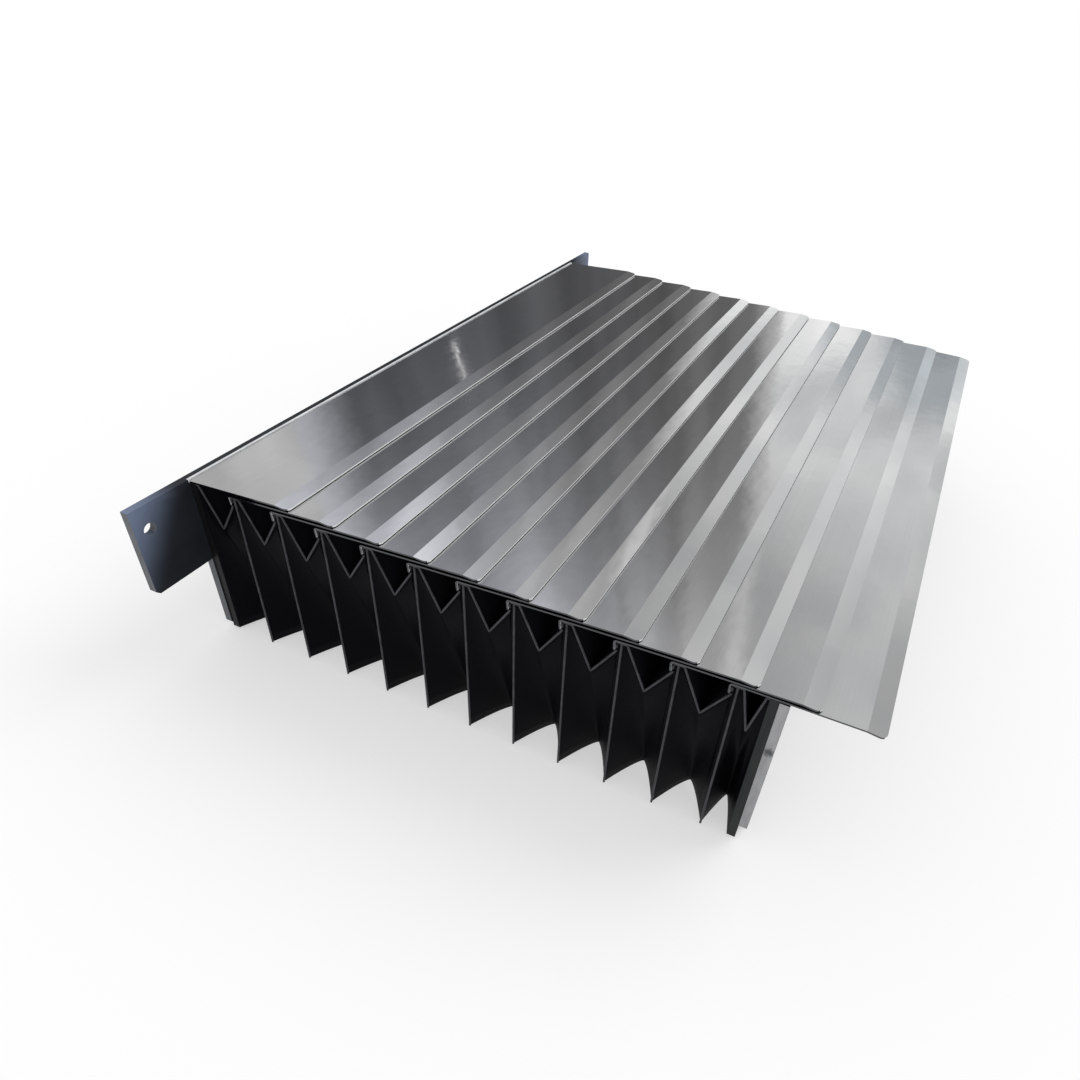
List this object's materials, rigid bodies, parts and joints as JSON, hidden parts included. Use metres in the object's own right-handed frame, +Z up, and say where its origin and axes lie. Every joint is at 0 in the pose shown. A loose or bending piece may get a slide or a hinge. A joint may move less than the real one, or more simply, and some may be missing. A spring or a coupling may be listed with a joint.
{
  "type": "bellows way cover",
  "caption": "Armoured bellows way cover: pleated cloth with hanging skirts between steel end plates, roofed by overlapping hooked steel lamellas that tilt as it closes.",
  "frame": {"origin": "under the middle of the whole cover, at the level that its end plates stand on", "axes": "+X along the travel from the fixed end to the moving end, +Y along the folds from front to back, +Z up"},
  "size_m": [0.339, 0.479, 0.1007],
  "materials": {
    "lamella_steel": "bright rolled stainless steel",
    "plate_steel": "dark grey-blue coated steel with bare edges",
    "clamp_plastic": "black sheet plastic",
    "frame_plastic": "grey sheet plastic",
    "rivet_aluminium": "plain",
    "coated_cloth": "black coated cloth with welded fold edges"
  },
  "bodies": {
    "fixed_end": {"fixed_end_plate": "plate_steel", "fixed_clamp_frame": "clamp_plastic", "fixed_end_rivets": "rivet_aluminium", "bellows_cloth": "coated_cloth"},
    "moving_end": {"moving_end_plate": "plate_steel", "moving_clamp_frame": "clamp_plastic", "moving_end_rivets": "rivet_aluminium"},
    "fold_01": {"support_frame_01": "frame_plastic"},
    "fold_02": {"support_frame_02": "frame_plastic"},
    "fold_03": {"support_frame_03": "frame_plastic"},
    "fold_04": {"support_frame_04": "frame_plastic"},
    "fold_05": {"support_frame_05": "frame_plastic"},
    "fold_06": {"support_frame_06": "frame_plastic"},
    "fold_07": {"support_frame_07": "frame_plastic"},
    "fold_08": {"support_frame_08": "frame_plastic"},
    "fold_09": {"support_frame_09": "frame_plastic"},
    "fold_10": {"support_frame_10": "frame_plastic"},
    "fold_11": {"support_frame_11": "frame_plastic"},
    "lamella_00": {"lamella_00": "lamella_steel"},
    "lamella_01": {"lamella_01": "lamella_steel"},
    "lamella_02": {"lamella_02": "lamella_steel"},
    "lamella_03": {"lamella_03": "lamella_steel"},
    "lamella_04": {"lamella_04": "lamella_steel"},
    "lamella_05": {"lamella_05": "lamella_steel"},
    "lamella_06": {"lamella_06": "lamella_steel"},
    "lamella_07": {"lamella_07": "lamella_steel"},
    "lamella_08": {"lamella_08": "lamella_steel"},
    "lamella_09": {"lamella_09": "lamella_steel"},
    "lamella_10": {"lamella_10": "lamella_steel"},
    "lamella_11": {"lamella_11": "lamella_steel"}
  },
  "joints": [
    {"name": "cover_slide", "type": "slide", "parent": "fixed_end", "child": "moving_end", "axis": [1, 0, 0], "range_m": [-0.185, 0], "deforming": ["bellows_cloth"]},
    {"name": "fold_slide_01", "type": "slide", "parent": "fixed_end", "child": "fold_01", "axis": [1, 0, 0], "range_m": [-0.01481, 0]},
    {"name": "fold_slide_02", "type": "slide", "parent": "fixed_end", "child": "fold_02", "axis": [1, 0, 0], "range_m": [-0.03102, 0]},
    {"name": "fold_slide_03", "type": "slide", "parent": "fixed_end", "child": "fold_03", "axis": [1, 0, 0], "range_m": [-0.04723, 0]},
    {"name": "fold_slide_04", "type": "slide", "parent": "fixed_end", "child": "fold_04", "axis": [1, 0, 0], "range_m": [-0.06343, 0]},
    {"name": "fold_slide_05", "type": "slide", "parent": "fixed_end", "child": "fold_05", "axis": [1, 0, 0], "range_m": [-0.07964, 0]},
    {"name": "fold_slide_06", "type": "slide", "parent": "fixed_end", "child": "fold_06", "axis": [1, 0, 0], "range_m": [-0.09584, 0]},
    {"name": "fold_slide_07", "type": "slide", "parent": "fixed_end", "child": "fold_07", "axis": [1, 0, 0], "range_m": [-0.11205, 0]},
    {"name": "fold_slide_08", "type": "slide", "parent": "fixed_end", "child": "fold_08", "axis": [1, 0, 0], "range_m": [-0.12825, 0]},
    {"name": "fold_slide_09", "type": "slide", "parent": "fixed_end", "child": "fold_09", "axis": [1, 0, 0], "range_m": [-0.14446, 0]},
    {"name": "fold_slide_10", "type": "slide", "parent": "fixed_end", "child": "fold_10", "axis": [1, 0, 0], "range_m": [-0.16066, 0]},
    {"name": "fold_slide_11", "type": "slide", "parent": "fixed_end", "child": "fold_11", "axis": [1, 0, 0], "range_m": [-0.17687, 0]},
    {"name": "lamella_tilt_00", "type": "hinge", "parent": "fixed_end", "child": "lamella_00", "pos_m": [-0.16543, 0, 0.093], "axis": [0, -1, 0], "range_deg": [0, 9.53]},
    {"name": "lamella_tilt_01", "type": "hinge", "parent": "fold_01", "child": "lamella_01", "pos_m": [-0.14043, 0, 0.093], "axis": [0, -1, 0], "range_deg": [0, 9.54]},
    {"name": "lamella_tilt_02", "type": "hinge", "parent": "fold_02", "child": "lamella_02", "pos_m": [-0.11543, 0, 0.093], "axis": [0, -1, 0], "range_deg": [0, 9.55]},
    {"name": "lamella_tilt_03", "type": "hinge", "parent": "fold_03", "child": "lamella_03", "pos_m": [-0.09043, 0, 0.093], "axis": [0, -1, 0], "range_deg": [0, 9.57]},
    {"name": "lamella_tilt_04", "type": "hinge", "parent": "fold_04", "child": "lamella_04", "pos_m": [-0.06543, 0, 0.093], "axis": [0, -1, 0], "range_deg": [0, 9.6]},
    {"name": "lamella_tilt_05", "type": "hinge", "parent": "fold_05", "child": "lamella_05", "pos_m": [-0.04043, 0, 0.093], "axis": [0, -1, 0], "range_deg": [0, 9.66]},
    {"name": "lamella_tilt_06", "type": "hinge", "parent": "fold_06", "child": "lamella_06", "pos_m": [-0.01543, 0, 0.093], "axis": [0, -1, 0], "range_deg": [0, 9.76]},
    {"name": "lamella_tilt_07", "type": "hinge", "parent": "fold_07", "child": "lamella_07", "pos_m": [0.00957, 0, 0.093], "axis": [0, -1, 0], "range_deg": [0, 9.93]},
    {"name": "lamella_tilt_08", "type": "hinge", "parent": "fold_08", "child": "lamella_08", "pos_m": [0.03457, 0, 0.093], "axis": [0, -1, 0], "range_deg": [0, 10.21]},
    {"name": "lamella_tilt_09", "type": "hinge", "parent": "fold_09", "child": "lamella_09", "pos_m": [0.05957, 0, 0.093], "axis": [0, -1, 0], "range_deg": [0, 10.71]},
    {"name": "lamella_tilt_10", "type": "hinge", "parent": "fold_10", "child": "lamella_10", "pos_m": [0.08457, 0, 0.093], "axis": [0, -1, 0], "range_deg": [0, 11.56]},
    {"name": "lamella_tilt_11", "type": "hinge", "parent": "fold_11", "child": "lamella_11", "pos_m": [0.10957, 0, 0.093], "axis": [0, -1, 0], "range_deg": [0, 13.02]}
  ],
  "couplings": [
    {"joint": "fold_slide_01", "follows": "cover_slide", "ratio": 0.079537},
    {"joint": "fold_slide_02", "follows": "cover_slide", "ratio": 0.16713},
    {"joint": "fold_slide_03", "follows": "cover_slide", "ratio": 0.25473},
    {"joint": "fold_slide_04", "follows": "cover_slide", "ratio": 0.34233},
    {"joint": "fold_slide_05", "follows": "cover_slide", "ratio": 0.42992},
    {"joint": "fold_slide_06", "follows": "cover_slide", "ratio": 0.51752},
    {"joint": "fold_slide_07", "follows": "cover_slide", "ratio": 0.60512},
    {"joint": "fold_slide_08", "follows": "cover_slide", "ratio": 0.69271},
    {"joint": "fold_slide_09", "follows": "cover_slide", "ratio": 0.78031},
    {"joint": "fold_slide_10", "follows": "cover_slide", "ratio": 0.86791},
    {"joint": "fold_slide_11", "follows": "cover_slide", "ratio": 0.9555},
    {"joint": "lamella_tilt_00", "follows": "cover_slide", "rad_per_m": -0.89713},
    {"joint": "lamella_tilt_01", "follows": "cover_slide", "rad_per_m": -0.89776},
    {"joint": "lamella_tilt_02", "follows": "cover_slide", "rad_per_m": -0.89883},
    {"joint": "lamella_tilt_03", "follows": "cover_slide", "rad_per_m": -0.90068},
    {"joint": "lamella_tilt_04", "follows": "cover_slide", "rad_per_m": -0.90384},
    {"joint": "lamella_tilt_05", "follows": "cover_slide", "rad_per_m": -0.90926},
    {"joint": "lamella_tilt_06", "follows": "cover_slide", "rad_per_m": -0.91855},
    {"joint": "lamella_tilt_07", "follows": "cover_slide", "rad_per_m": -0.93448},
    {"joint": "lamella_tilt_08", "follows": "cover_slide", "rad_per_m": -0.96179},
    {"joint": "lamella_tilt_09", "follows": "cover_slide", "rad_per_m": -1.0086},
    {"joint": "lamella_tilt_10", "follows": "cover_slide", "rad_per_m": -1.0889},
    {"joint": "lamella_tilt_11", "follows": "cover_slide", "rad_per_m": -1.2264}
  ]
}
